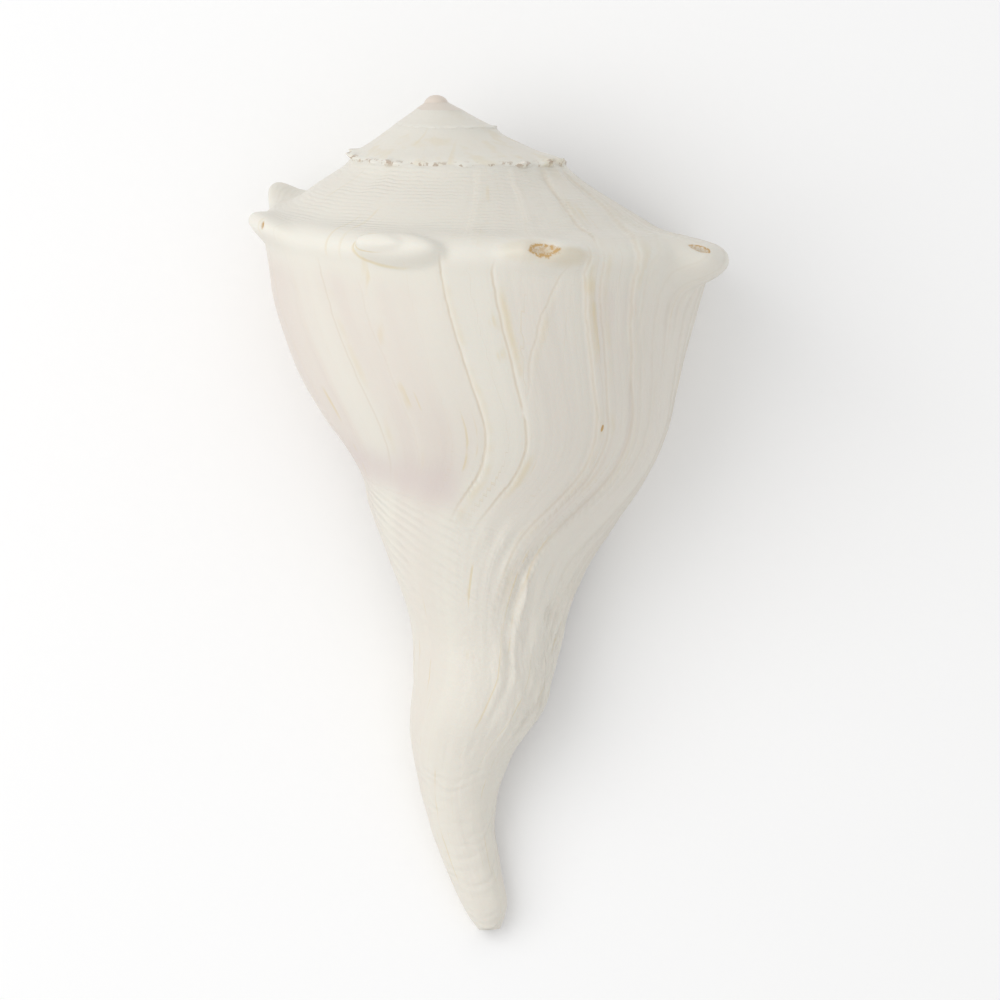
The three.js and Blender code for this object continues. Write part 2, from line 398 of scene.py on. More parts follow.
    def crossed_edges(self, angles: Array, points: Array, girth: Array) -> tuple[Array, Array, Array]:
        """The old lip edges at each place.

        Args:
            angles: Angle of each place.
            points: Outline point of each place.
            girth: Distance of each place from the axis, in mm.

        Returns:
            Height in mm, distance past the nearest edge in mm, and how strongly that edge is drawn.
        """
        grown = self.growth_angle(angles, points)
        total = np.zeros_like(grown)
        nearest, strength = np.full_like(grown, 9.0), np.zeros_like(grown)
        for k, edge in enumerate(self.edges):
            waver = edge.waver * layered_noise(points * 1.5 + 7.1 * k, points * 0 + k, 11 + k, 4)
            place = edge.at + edge.slant * (points - edge.top) + waver
            away = np.radians(grown - place) * girth
            shape = np.where(away < 0, np.exp(-((away / edge.rise) ** 2)), np.exp(-away / edge.fall))
            groove = 0.35 * bell(away, -1.3 * edge.rise, edge.rise)
            span = smoothstep(points, edge.top - 0.5, edge.top + 0.5) * (
                1 - smoothstep(points, edge.bottom - 1.2, edge.bottom + 0.4)
            )
            total += edge.height * (shape - groove) * span
            closer = (np.abs(away) < np.abs(nearest)) & (span > 0.02)
            nearest = np.where(closer, away, nearest)
            strength = np.where(closer, edge.line * span, strength)
        return total, nearest, strength

    def height(self, angles: Array, points: Array, across: Array, girth: Array) -> Array:
        """How far the surface stands proud of the plain whorl, without its knobs and old edges.

        Args:
            angles: Angle of each place.
            points: Outline point of each place.
            across: Distance of each place from the suture, in mm.
            girth: Distance of each place from the axis, in mm.

        Returns:
            Heights in mm.
        """
        grown = self.growth_angle(angles, points)
        total = np.zeros_like(angles)
        for pit in self.pits:
            along = np.radians(angles - pit.at) * girth / pit.long
            up = (points - pit.point) * self.point_mm / pit.tall
            total -= pit.depth * np.exp(-((along**2 + up**2) ** 1.5))
        facing = np.radians(angles - 262) * girth
        crowd = smoothstep(grown, 268, 300) * (0.45 + 0.55 * smoothstep(grown, 296, 330))
        body = smoothstep(points, 5.6, 7.0) * (1 - smoothstep(points, 15, 17))
        lines = layered_noise(grown * 0.42, points * 0.28, 21, 3)
        total += lines * (0.03 + 0.20 * crowd) * (0.3 + 0.7 * body) * (1 - 0.9 * smoothstep(points, 15.5, 18))
        total += layered_noise(grown / 19, points / 3.1, 41, 2) * 0.45 * body
        late = smoothstep(angles, 262, 300)
        base = smoothstep(points, 12.2, 13.6) * (1 - smoothstep(points, 18.0, 19.5))
        sway = 1.1 * layered_noise(points * 1.5, angles / 26, 8, 2)
        ropes = layered_noise(grown * 0.19 + sway, points * 0.55, 55, 2)
        folds = 1 - 2 * np.abs(layered_noise(grown * 0.11 + 0.8 * sway, points * 0.4, 57, 2))
        total += base * (ropes * (0.04 + 0.5 * late) + 0.42 * folds * late)
        rough = layered_noise(facing / 2.6, across / 3.2, 58, 3)
        total += 0.34 * late * rough * smoothstep(points, 14.4, 15.4) * (1 - smoothstep(points, 17.5, 19.5))
        total += smoothstep(points, 17.5, 19) * 0.22 * layered_noise(facing / 3.8, across / 6.5, 67, 2)
        trough = bell(points, 3.3, 0.6) * smoothstep(angles, 60, 160)
        return (total - 0.6 * trough) * (1 - smoothstep(points, 22, 23.5))


class Part(Enum):
    """The two kinds of surface on the shell."""

    OUTSIDE = 0
    INSIDE = 1


def catmull_rom(places: Array, count: int) -> Array:
    """Weights that carry `count` control points to smooth places between them.

    Args:
        places: Where to sample, counted in control points.
        count: How many control points there are.

    Returns:
        Matrix of place by control point.
    """
    weights = np.zeros((len(places), count))
    for row, place in enumerate(places):
        first = int(min(max(math.floor(place), 0), count - 2))
        t = place - first
        basis = (
            (-t + 2 * t**2 - t**3) / 2,
            (2 - 5 * t**2 + 3 * t**3) / 2,
            (t + 4 * t**2 - 3 * t**3) / 2,
            (-(t**2) + t**3) / 2,
        )
        for offset, weight in zip(range(-1, 3), basis):
            weights[row, min(max(first + offset, 0), count - 1)] += weight
    return weights


@dataclass
class WhelkShell:
    """The whole shell, one grown piece.

    `cap_radius` and `cap_height` are the larval shell's, in mm, and `inner_share` how much of the knobs the inside
    follows.
    """

    coil: Coil = field(default_factory=Coil)
    relief: Relief = field(default_factory=Relief)
    pose: RestPose = field(default_factory=RestPose)
    cap_radius: float = 2.9
    cap_height: float = 2.3
    inner_share: float = 0.8

    def angles(self) -> Array:
        """The angles of the surface's columns, closest where the shell shows most.

        Returns:
            The angles, in degrees.
        """
        spire, mouth = (self.coil.first, -325.0, 8.0), (-325.0, self.coil.mouth, 2.5)
        hidden, back = (self.coil.mouth, 150.0, 2.5), (150.0, 372.0, 0.74)
        runs = (spire, mouth, hidden, back, (372.0, self.coil.lip, 1.15))
        return np.concatenate([np.arange(a, b - step / 2, step) for a, b, step in runs] + [[self.coil.lip]])

    def rows(self) -> tuple[Array, Array]:
        """The surface's rows.

        Returns:
            Their places along the outline, outside and inside.
        """
        outer = np.concatenate([
            np.linspace(0, 3.5, 26, endpoint=False), np.linspace(3.5, 6.5, 28, endpoint=False),
            np.linspace(6.5, 16, 54, endpoint=False), np.linspace(16, 24, 34),
        ])
        inner = np.concatenate([np.linspace(24, 12, 9, endpoint=False), np.linspace(12, 1, 11)])
        return outer, inner

    def carried(self, angles: Array, section: Array) -> Array:
        """Outlines of (radius, drop) carried round the axis to their angles, as positions in space."""
        turn, radius = np.radians(angles)[:, None], section[..., 0]
        return np.stack([radius * np.cos(turn), radius * np.sin(turn), -section[..., 1]], axis=2)

    def outer_grid(self) -> tuple[Array, dict[str, Array]]:
        """The outside surface in the standing frame.

        Returns:
            Positions of column by row by 3, and the growth coordinates of each by name.
        """
        angles = self.angles()
        outer, _ = self.rows()
        control = self.coil.outlines(angles)
        section = catmull_rom(outer, control.shape[1]) @ control
        everywhere = np.broadcast_to(angles[:, None], section.shape[:2])
        points = np.broadcast_to(outer[None], section.shape[:2])
        out, down = self.relief.push(everywhere, points, self.coil)
        section[..., 0] += out
        section[..., 1] += down
        steps = np.linalg.norm(np.diff(section, axis=1), axis=2)
        across = np.concatenate([np.zeros((len(angles), 1)), np.cumsum(steps, axis=1)], axis=1)
        flat = self.carried(angles, section)
        rise = self.relief.height(everywhere, points, across, section[..., 0])
        old_edges, away, strength = self.relief.crossed_edges(everywhere, points, section[..., 0])
        normal = np.cross(np.gradient(flat, axis=1), np.gradient(flat, axis=0))
        normal /= np.linalg.norm(normal, axis=2, keepdims=True) + 1e-9
        extra = {
            "growth_deg": self.relief.growth_angle(everywhere, points), "turn_deg": everywhere,
            "outline_point": points, "across_mm": across, "edge_mm": away, "edge_line": strength,
        }
        return flat + normal * (rise + old_edges)[..., None], extra

    def inner_grid(self) -> Array:
        """The inside surface in the standing frame.

        Returns:
            Positions of column by row by 3.
        """
        angles = self.angles()
        _, inner = self.rows()
        control = self.coil.insides(angles)
        section = catmull_rom(inner, control.shape[1]) @ control
        everywhere = np.broadcast_to(angles[:, None], section.shape[:2])
        out, down = self.relief.push(everywhere, np.broadcast_to(inner[None], section.shape[:2]), self.coil)
        section[..., 0] += self.inner_share * out
        section[..., 1] += self.inner_share * down
        return self.carried(angles, section)

    def build(self) -> Object:
        """Makes the shell's mesh, with its growth coordinates as attributes.

        Returns:
            The mesh object, in metres and in the rest pose.
        """
        outside, coordinates = self.outer_grid()
        inside = self.inner_grid()
        outer, inner = self.rows()
        columns, row_count = outside.shape[0], outside.shape[1] + inside.shape[1]
        standing = np.concatenate([outside, inside], axis=1).reshape(-1, 3)
        standing[:, 0] += self.coil.bend(-standing[:, 2])
        placed = self.pose.place(standing)
        placed[:, 2] = np.maximum(placed[:, 2], 0.0)
        index = np.arange(columns * row_count).reshape(columns, row_count)
        around = np.roll(index, -1, axis=1)
        quads = np.stack([index[:-1], around[:-1], around[1:], index[1:]], axis=2).reshape(-1, 4)
        faces = quads.tolist()
        faces.append(index[0, ::-1].tolist())
        faces.extend(self.lip_faces(index[-1], outer, inner))
        dome, dome_faces = self.apex_dome(len(placed))
        placed = np.concatenate([placed, self.pose.place(dome)])
        mesh = bpy.data.meshes.new("whelk_shell")
        mesh.from_pydata((placed * MM).tolist(), [], faces + dome_faces)
        self.add_coordinates(mesh, coordinates, inside.shape[1], len(dome))
        shape = bpy.data.objects.new("whelk_surface", mesh)
        bpy.context.collection.objects.link(shape)
        return shape

    def lip_faces(self, last: Array, outer: Array, inner: Array) -> list[list[int]]:
        """The faces of the lip's edge, between its outside and its inside.

        Args:
            last: Vertex numbers of the last column, outside then inside.
            outer: Outline places of the outside rows.
            inner: Outline places of the inside rows.

        Returns:
            Lists of vertex numbers.
        """
        out, within = last[: len(outer)], last[len(outer):]
        breaks = [len(out) - 1] + [int(np.argmin(np.abs(outer - place))) for place in inner[1:-1]] + [0]
        faces = []
        for k in range(len(inner) - 1):
            run = list(range(breaks[k], breaks[k + 1] - 1, -1))
            faces.append([int(out[i]) for i in run] + [int(within[k + 1]), int(within[k])])
        return faces

    def apex_dome(self, first: int) -> tuple[Array, list[list[int]]]:
        """The smooth larval shell on the very top.

        Args:
            first: The number of its first vertex.

        Returns:
            Its points in the standing frame, and its faces.
        """
        turns, rings = 28, 9
        points, faces = [], []
        for ring in range(rings + 1):
            lean = 0.5 * math.pi * 1.15 * ring / rings
            for turn in range(turns):
                spin = 2 * math.pi * turn / turns
                wide = self.cap_radius * math.sin(lean) * (1 + 0.05 * math.cos(spin - 0.6))
                drop = self.cap_height * (1 - math.cos(lean))
                points.append((wide * math.cos(spin), wide * math.sin(spin), -drop))
        for ring in range(rings):
            for turn in range(turns):
                here, there = ring * turns + turn, ring * turns + (turn + 1) % turns
                faces.append([first + here, first + here + turns, first + there + turns, first + there])
        return np.array(points), faces

    def add_coordinates(
        self, mesh: Mesh, coordinates: dict[str, Array], inner_rows: int, dome_points: int
    ) -> None:
        """Stores where each vertex grew, for the finish to read.

        Args:
            mesh: The shell's mesh.
            coordinates: Growth coordinates of the outside vertices, by name.
            inner_rows: How many rows of the inside follow the outside ones.
            dome_points: How many vertices of the apex follow them all.
        """
        plain = {
            "growth_deg": (300.0, -900.0), "turn_deg": (300.0, -900.0), "outline_point": (12.0, 4.0),
            "across_mm": (0.0, 1.0), "edge_mm": (9.0, 9.0), "edge_line": (0.0, 0.0), "growth_mm": (0.0, 0.0),
            "inside": (1.0, 0.0),
        }
        grown = coordinates["growth_deg"]
        pitch = math.log(self.coil.half_turn_growth) / math.pi
        coordinates["growth_mm"] = self.coil.outline_left[5][0] * self.coil.growth(grown) / pitch
        coordinates["inside"] = np.zeros_like(grown)
        for name, (within, dome) in plain.items():
            outside = coordinates[name]
            extra = np.full((outside.shape[0], inner_rows), within)
            values = np.concatenate([outside, extra], axis=1).reshape(-1)
            values = np.concatenate([values, np.full(dome_points, dome)])
            layer = mesh.attributes.new(name, "FLOAT", "POINT")
            layer.data.foreach_set("value", values.astype(np.float32))

    def dress(self, shape: Object) -> None:
        """Smooths the surface and gives the inside its own material.

        Args:
            shape: The shell, with its outside and inside materials in that order.
        """
        mesh = shape.data
        inside = np.zeros(len(mesh.vertices), dtype=np.float32)
        mesh.attributes["inside"].data.foreach_get("value", inside)
        kinds = [
            Part.INSIDE.value if all(inside[v] > 0.5 for v in face.vertices) else Part.OUTSIDE.value
            for face in mesh.polygons
        ]
        mesh.polygons.foreach_set("material_index", kinds)
        mesh.shade_smooth()
        mesh.set_sharp_from_angle(angle=math.radians(70))


class Tree:
    """A thin helper that adds and links shader nodes."""

    def __init__(self, tree: NodeTree) -> None:
        """Keeps the tree that nodes are added to."""
        self.tree = tree

    def node(self, kind: str, inputs: Optional[dict] = None, **settings: object) -> Node:
        """Adds a node, sets its properties and fills or links its inputs.

        Args:
            kind: The node's type, without the leading "ShaderNode".
            inputs: Input name or number to a value or an output socket.
            settings: Properties of the node.

        Returns:
            The new node.
        """
        made = self.tree.nodes.new(kind if kind.startswith("Node") else "ShaderNode" + kind)
        for name, value in settings.items():
            setattr(made, name, value)
        for key, value in (inputs or {}).items():
            if isinstance(value, Socket):
                self.tree.links.new(value, made.inputs[key])
            else:
                made.inputs[key].default_value = value
        return made

    def math(self, operation: str, *values: object) -> Socket:
        """The result of a math node."""
        return self.node("Math", dict(enumerate(values)), operation=operation).outputs[0]

    def times(self, *values: object) -> Socket:
        """The product of two or more values."""
        return reduce(lambda first, second: self.math("MULTIPLY", first, second), values)

    def plus(self, *values: object) -> Socket:
        """The sum of two or more values."""
        return reduce(lambda first, second: self.math("ADD", first, second), values)

    def minus(self, first: object, second: object) -> Socket:
        """One value less another."""
        return self.math("SUBTRACT", first, second)

    def span(self, value: object, low: float, high: float, start: float = 0.0, end: float = 1.0) -> Socket:
        """A value mapped smoothly and clamped from one range to another."""
        inputs = {"Value": value, "From Min": low, "From Max": high, "To Min": start, "To Max": end}
        return self.node("MapRange", inputs, interpolation_type="SMOOTHSTEP").outputs["Result"]

    def peak(self, value: object, middle: float, half_width: float) -> Socket:
        """A smooth mask that is 1 at middle and 0 beyond half_width from it."""
        away = self.math("ABSOLUTE", self.minus(value, middle))
        return self.span(away, 0.0, half_width, 1.0, 0.0)

    def noise(self, vector: object, scale: float, detail: float = 3.0, roughness: float = 0.55) -> Socket:
        """The value of a noise texture."""
        inputs = {"Vector": vector, "Scale": scale, "Detail": detail, "Roughness": roughness}
        return self.node("TexNoise", inputs).outputs["Fac"]

    def blend(self, factor: object, first: object, second: object) -> Socket:
        """Two colours mixed by a factor, at the colour sockets of a mix node."""
        inputs = {0: factor, 6: first, 7: second}
        return self.node("Mix", inputs, data_type="RGBA", blend_type="MIX", clamp_factor=True).outputs[2]

    def surface(self, inputs: dict) -> None:
        """Adds the material's shader, with some of its inputs, and its output."""
        self.node("OutputMaterial", {"Surface": self.node("BsdfPrincipled", inputs).outputs[0]})

    def attribute(self, name: str) -> Socket:
        """The value of a mesh attribute."""
        return self.node("Attribute", attribute_name=name).outputs["Fac"]


def rgb(red: int, green: int, blue: int) -> tuple[float, float, float, float]:
    """A linear colour from display values.

    Args:
        red: Red, 0 to 255.
        green: Green, 0 to 255.
        blue: Blue, 0 to 255.

    Returns:
        Red, green, blue and a full alpha, 0 to 1.
    """

    def linear(part: int) -> float:
        """One part of the colour, made linear."""
        share = part / 255
        return share / 12.92 if share <= 0.04045 else ((share + 0.055) / 1.055) ** 2.4

    return (linear(red), linear(green), linear(blue), 1.0)


def coil_space_group() -> NodeTree:
    """A group that puts out the growth coordinates as a vector, in centimetres, stretched along the lip.

    Returns:
        The group, with the outputs Lines (long along the lip), Streaks (longer still), Even (the same each way)
        and Place (the plain place in space).
    """
    group = bpy.data.node_groups.new("coil_space", "ShaderNodeTree")
    tree = Tree(group)
    growth = tree.times(tree.attribute("growth_mm"), 0.1)
    across = tree.times(tree.attribute("across_mm"), 0.1)
    outputs = {
        name: tree.node("CombineXYZ", {"X": growth, "Y": tree.times(across, shortened)}).outputs[0]
        for name, shortened in (("Lines", 0.12), ("Streaks", 0.03), ("Even", 1.0))
    }
    metres = tree.node("TexCoord").outputs["Object"]
    outputs["Place"] = tree.node("VectorMath", {0: metres, "Scale": 100.0}, operation="SCALE").outputs[0]
    for name in outputs:
        group.interface.new_socket(name, in_out="OUTPUT", socket_type="NodeSocketVector")
    tree.node("NodeGroupOutput", outputs)
    return group


def new_material(name: str) -> tuple[Material, Tree]:
    """Makes a material with no nodes.

    Args:
        name: Its name.

    Returns:
        The material, and a helper for its nodes.
    """
    made = bpy.data.materials.new(name)
    made.use_nodes = True
    made.node_tree.nodes.clear()
    return made, Tree(made.node_tree)


@dataclass(frozen=True)
class Stain:
    """A warm stain, or a rim line partly of painted shade: its angle round the axis, outline point, half sizes in
    degrees and points, and strength.
    """

    at: float
    point: float
    wide: float
    tall: float
    strength: float


@dataclass(frozen=True)
class ShellFinish:
    """The chalky outside of the shell: creamy white with pinkish bands, yellow grooves and stained pits, and painted
    shade along the old bulge's lower edge and round the rim of knob C.

    `cord_mm` and `wrinkle_mm` are the spacing of the cords on the ramp and of the canal's wrinkles. `thread_rate` and
    `thread_slant` are how close the threads on the base stand, in radians to an outline point, and how many points
    they drop in each degree. `canal_point_mm` is the length of canal to an outline point, and `bump_mm` the height of
    the fine relief. `crack_mm` and `warm_mm` are half the width of a crack and of the tint beside it, `crumble` how
    uneven a pit's rim is, and `narrow_stain` the half width in degrees under which a stain is one dark spot.
    """

    cream: Colour = (229, 225, 214)
    pink: Colour = (222, 212, 203)
    chalk: Colour = (235, 232, 222)
    # Purple tone of the old bulge, darker as painted shade along its lower edge
    lilac_and_painted_shade: Colour = (217, 205, 200)
    yellow: Colour = (218, 198, 148)
    groove: Colour = (206, 192, 170)
    tan: Colour = (200, 165, 112)
    suture: Colour = (178, 158, 138)
    apex: Colour = (222, 207, 194)
    glaze: Colour = (236, 220, 196)
    halo: Colour = (211, 199, 172)
    roughness: float = 0.42
    cord_mm: float = 1.35
    thread_rate: float = 21.0
    thread_slant: float = 0.013
    wrinkle_mm: float = 3.0
    canal_point_mm: float = 9.0
    bump_mm: float = 0.35
    crack_mm: float = 0.55
    warm_mm: float = 1.6
    crumble: float = 0.9
    narrow_stain: float = 1.0
    stains: Sequence[Stain] = (
        Stain(294, 4.9, 3.9, 0.44, 0.95), Stain(340, 4.6, 1.6, 0.22, 0.9), Stain(318.9, 10.1, 0.5, 0.085, 2.2),
        Stain(208, 4.8, 0.8, 0.28, 1.0),
    )
    halos: Sequence[Stain] = (Stain(300, 5.15, 7.5, 0.55, 0.5), Stain(291, 4.8, 8.0, 0.7, 0.3))
    # Lines round the older end of knob C and its small mound: partly the real yellow arc, partly painted shade along
    # the knob's overhanging rim
    arcs_and_rim_shade: Sequence[Stain] = (Stain(256.5, 5.02, 12.4, 0.92, 0.5), Stain(252.0, 4.9, 6.0, 0.5, 0.6))

    def material(self, space: NodeTree) -> Material:
        """Makes the material.

        Args:
            space: The coil_space group.

        Returns:
            The material.
        """
        made, tree = new_material("shell_outside")
        coil = tree.node("Group", node_tree=space)
        grain = tree.noise(coil.outputs["Place"], 16.0, 3.0)
        tree.surface({
            "Base Color": self.colour(tree, coil, self.stained(tree, coil)),
            "Roughness": tree.span(grain, 0.3, 0.7, self.roughness - 0.05, self.roughness + 0.08),
            "Normal": self.bump(tree, coil), "Specular IOR Level": 0.4,
            "Subsurface Weight": 0.08, "Subsurface Radius": (0.006, 0.004, 0.003), "Subsurface Scale": 0.4,
        })
        return made

    def stained(self, tree: Tree, coil: Node) -> Socket:
        """The mask of the stained pits: an even one where narrow, and elsewhere a speckled one, darkest at its rim.

        Args:
            tree: The material's nodes.
            coil: The coil_space node.

        Returns:
            A mask from 0 to 1.
        """
        place = coil.outputs["Place"]
        crumbs, speck = tree.noise(place, 4.5, 3.0, 0.6), tree.noise(place, 15.0, 2.0)
        total: object = 0.0
        for stain in self.stains:
            away = self.reach(tree, stain, tree.times(tree.minus(crumbs, 0.5), self.crumble))
            if stain.wide < self.narrow_stain:
                shade = tree.span(away, 0.5, 0.9, 1.0, 0.4)
            else:
                rim = tree.times(tree.peak(away, 0.85, 0.28), tree.span(speck, 0.4, 0.55, 0.25, 0.9))
                shade = tree.plus(rim, tree.span(speck, 0.42, 0.62, 0.25, 0.7))
            total = tree.math("MAXIMUM", total, tree.times(shade, tree.span(away, 0.8, 1.1, stain.strength, 0.0)))
        return total

    def reach(self, tree: Tree, stain: Stain, uneven: object) -> Socket:
        """Distance from the middle of a stain, 1 at its edge.

        Args:
            tree: The material's nodes.
            stain: The stain.
            uneven: What is added to make its edge uneven.

        Returns:
            The distance.
        """
        across = tree.math("DIVIDE", tree.minus(tree.attribute("turn_deg"), stain.at), stain.wide)
        down = tree.math("DIVIDE", tree.minus(tree.attribute("outline_point"), stain.point), stain.tall)
        squares = tree.plus(tree.times(across, across), tree.times(down, down))
        return tree.plus(tree.math("SQRT", squares), uneven)

    def colour(self, tree: Tree, coil: Node, pits: Socket) -> Socket:
        """The colour of the surface, laid on one tint after another.

        Args:
            tree: The material's nodes.
            coil: The coil_space node.
            pits: The mask of the stained pits.

        Returns:
            The colour.
        """
        lines, place = coil.outputs["Lines"], coil.outputs["Place"]
        grown, point = tree.attribute("growth_deg"), tree.attribute("outline_point")
        turn, drawn = tree.attribute("turn_deg"), tree.attribute("edge_line")
        broad, patch = tree.noise(lines, 0.5, 2.0), tree.noise(coil.outputs["Even"], 0.6, 2.0)

        # Pinkish bands on the body, strongest on its older half, and a lilac tint low on that half: the shell's
        # purple tone, darkened as painted shade along the lower edge of the old bulge
        body = tree.times(tree.span(point, 5.8, 7.0), tree.span(point, 12.2, 13.2, 1.0, 0.3))
        older = tree.times(body, tree.span(grown, 267.5, 269.5, 1.0, 0.25))
        pinkish = tree.times(tree.span(broad, 0.3, 0.6, 0.15, 1.0), tree.plus(tree.times(older, 0.75), 0.12))
        tints = [(pinkish, self.pink)]
        broken = tree.span(tree.noise(lines, 1.6, 2.0), 0.4, 0.6)
        band = tree.times(tree.peak(grown, 316.0, 14.0), body, broken, 0.55)
        tints.append((band, self.pink))
        # Lilac just above the ledge: the real purple tone plus painted shade where the older bulge turns down to the
        # ledge
        low = tree.times(tree.peak(point, 12.0, 1.1), tree.span(turn, 262.0, 274.0, 0.65, 0.0))
        tints.append((low, self.lilac_and_painted_shade))

        # A chalky keel, yellow streaks along the lip, and faint yellow patches on the spire
        keel = tree.times(tree.peak(point, 4.8, 1.0), tree.span(patch, 0.3, 0.6, 0.35, 0.75))
        tints.append((keel, self.chalk))
        streak = tree.span(tree.noise(coil.outputs["Streaks"], 3.0, 2.0, 0.5), 0.60, 0.67)
        yellow = tree.times(streak, tree.span(patch, 0.5, 0.62, 0.0, 0.45), tree.span(point, 5.5, 7.0, 0.5, 1.0))
        tints.append((yellow, self.yellow))
        spire = tree.times(tree.span(turn, 0.0, 40.0, 1.0, 0.0), tree.span(turn, -500.0, -300.0))
        faint = tree.times(tree.span(tree.noise(place, 1.6, 2.0), 0.52, 0.66, 0.0, 0.18), spire)
        tints.append((faint, self.yellow))

        # The cracks along the old edges of the lip, and the warm tint beside them
        away = tree.plus(tree.attribute("edge_mm"), self.crack_mm)
        tints.append((tree.times(tree.peak(away, 0.0, self.crack_mm), drawn), self.groove))
        warm = tree.peak(tree.minus(away, self.warm_mm), 0.0, self.warm_mm)
        warm = tree.times(warm, drawn, tree.span(patch, 0.42, 0.62, 0.0, 0.6))
        tints.append((warm, self.yellow))

        # Dirt between the nodules of the suture
        dirt = tree.times(tree.peak(point, 4.9, 0.65), tree.span(tree.noise(place, 7.0, 3.0), 0.52, 0.6))
        dirt = tree.times(dirt, tree.span(turn, -300.0, -160.0, 0.1, 0.8), tree.span(turn, 25.0, 60.0, 1.0, 0.0))
        tints.append((dirt, self.suture))

        # Stains round the knobs, a yellow line of real arc and painted rim shade round the older end of knob C, then
        # the pits, the callus inside the mouth and the apex
        for halo in self.halos:
            away = self.reach(tree, halo, tree.times(tree.minus(patch, 0.5), 0.8))
            tints.append((tree.span(away, 0.5, 1.1, halo.strength, 0.0), self.halo))
        # Yellow line on each rim: the knob's real yellow arc above, and below it painted shade standing in for the
        # crisp edge of the shadow under the overhang
        for arc_and_shade in self.arcs_and_rim_shade:
            away = self.reach(tree, arc_and_shade, tree.times(tree.minus(patch, 0.5), 0.3))
            start, end = arc_and_shade.at - 0.3 * arc_and_shade.wide, arc_and_shade.at + 0.5 * arc_and_shade.wide
            ring = tree.times(tree.peak(away, 1.0, 0.09), tree.span(turn, start, end, arc_and_shade.strength, 0.0))
            tints.append((ring, self.yellow))
        tints.append((pits, self.tan))
        callus = tree.times(tree.span(turn, 48.0, 74.0, 0.8, 0.0), tree.span(point, 5.6, 6.6))
        tints.append((callus, self.glaze))
        tints.append((tree.span(turn, -1000.0, -420.0, 0.8, 0.0), self.apex))

        colour: object = rgb(*self.cream)
        for mask, tint in tints:
            colour = tree.blend(mask, colour, rgb(*tint))
        return colour

    def bump(self, tree: Tree, coil: Node) -> Socket:
        """The fine relief: growth lines, spiral cords above the shoulder and on the base, wrinkles and grain.

        Args:
            tree: The material's nodes.
            coil: The coil_space node.

        Returns:
            The bent normal.
        """
        lines, place = coil.outputs["Lines"], coil.outputs["Place"]
        grown, point = tree.attribute("growth_deg"), tree.attribute("outline_point")
        turn, patch = tree.attribute("turn_deg"), tree.noise(coil.outputs["Even"], 0.8, 2.0)

        # Spiral cords on the ramp, and spiral threads on the base
        cords = tree.times(tree.attribute("across_mm"), 2 * math.pi / self.cord_mm)
        ramp = tree.times(
            tree.math("SINE", tree.plus(cords, tree.times(patch, 14.0))), tree.span(point, 3.9, 4.5, 0.17, 0.0),
            tree.span(patch, 0.36, 0.6, 0.2, 1.0), tree.span(turn, 60.0, 240.0, 0.12, 1.0),
        )
        slanted = tree.minus(point, tree.times(turn, self.thread_slant))
        threads = tree.times(
            tree.math("SINE", tree.plus(tree.times(slanted, self.thread_rate), tree.times(patch, 4.0))),
            tree.span(point, 12.7, 13.0), tree.span(point, 14.6, 16.6, 0.36, 0.0),
            tree.span(turn, 275.0, 325.0, 1.0, 0.12), tree.span(patch, 0.35, 0.6, 0.3, 1.0),
            tree.span(turn, 110.0, 190.0, 0.2, 1.0),
        )

        # The ledge under the older half of the body
        ledge = tree.times(
            tree.span(point, 12.62, 12.74), tree.span(point, 12.8, 15.0, 1.1, 0.0),
            tree.span(turn, 185.0, 205.0, 0.3, 1.2), tree.span(turn, 266.0, 276.0, 1.0, 0.0),
        )

        # Curved wrinkles across the canal
        facing = tree.times(tree.minus(turn, 258.0), math.radians(7.0))
        bow = tree.plus(
            tree.times(point, self.canal_point_mm), tree.times(facing, facing, 0.07),
            tree.times(tree.noise(place, 0.9, 2.0), 9.0),
        )
        wrinkles = tree.times(
            tree.math("SINE", tree.times(bow, 2 * math.pi / self.wrinkle_mm)),
            tree.span(point, 17.4, 19.5, 0.0, 0.22), tree.span(tree.noise(place, 1.0, 2.0), 0.4, 0.6, 0.15, 1.0),
        )

        # Growth lines, coarse and fine, then grain and the roughness of the base
        growth = tree.times(
            tree.noise(lines, 2.4, 2.0, 0.55), tree.span(grown, 266.0, 290.0, 0.2, 1.0),
            tree.span(point, 5.0, 7.0, 0.5, 1.0), tree.span(point, 14.0, 17.0, 1.0, 0.0),
        )
        hairs = tree.times(tree.noise(lines, 12.0, 2.0), tree.span(point, 14.5, 16.5, 0.12, 0.0))
        grain = tree.times(tree.noise(place, 16.0, 3.0), 0.14)
        rough = tree.times(
            tree.noise(place, 3.2, 4.0, 0.6), tree.span(point, 14.0, 16.5, 0.15, 1.3),
            tree.span(turn, 215.0, 262.0, 0.3, 1.0),
        )
        height = tree.plus(ramp, threads, ledge, wrinkles, growth, hairs, grain, rough)
        inputs = {"Strength": 0.8, "Distance": self.bump_mm * MM, "Height": height}
        return tree.node("Bump", inputs).outputs[0]


@dataclass(frozen=True)
class GlazeFinish:
    """The smooth inside of the mouth, cream to pale orange."""

    cream: Colour = (238, 226, 206)
    orange: Colour = (226, 186, 148)
    roughness: float = 0.24

    def material(self) -> Material:
        """Makes the material.

        Returns:
            The material.
        """
        made, tree = new_material("shell_inside")
        patch = tree.noise(tree.node("NewGeometry").outputs["Position"], 18.0, 2.0)
        colour = tree.blend(tree.span(patch, 0.35, 0.7), rgb(*self.cream), rgb(*self.orange))
        tree.surface({"Base Color": colour, "Roughness": self.roughness, "Specular IOR Level": 0.5})
        return made


@dataclass(frozen=True)
class FloorFinish:
    """The pale studio floor."""

    colour: Colour = (254, 254, 254)
    roughness: float = 0.9

    def material(self) -> Material:
        """Makes the plain matt material."""
        made, tree = new_material("floor")
        tree.surface({"Base Color": rgb(*self.colour), "Roughness": self.roughness, "Specular IOR Level": 0.1})
        return made


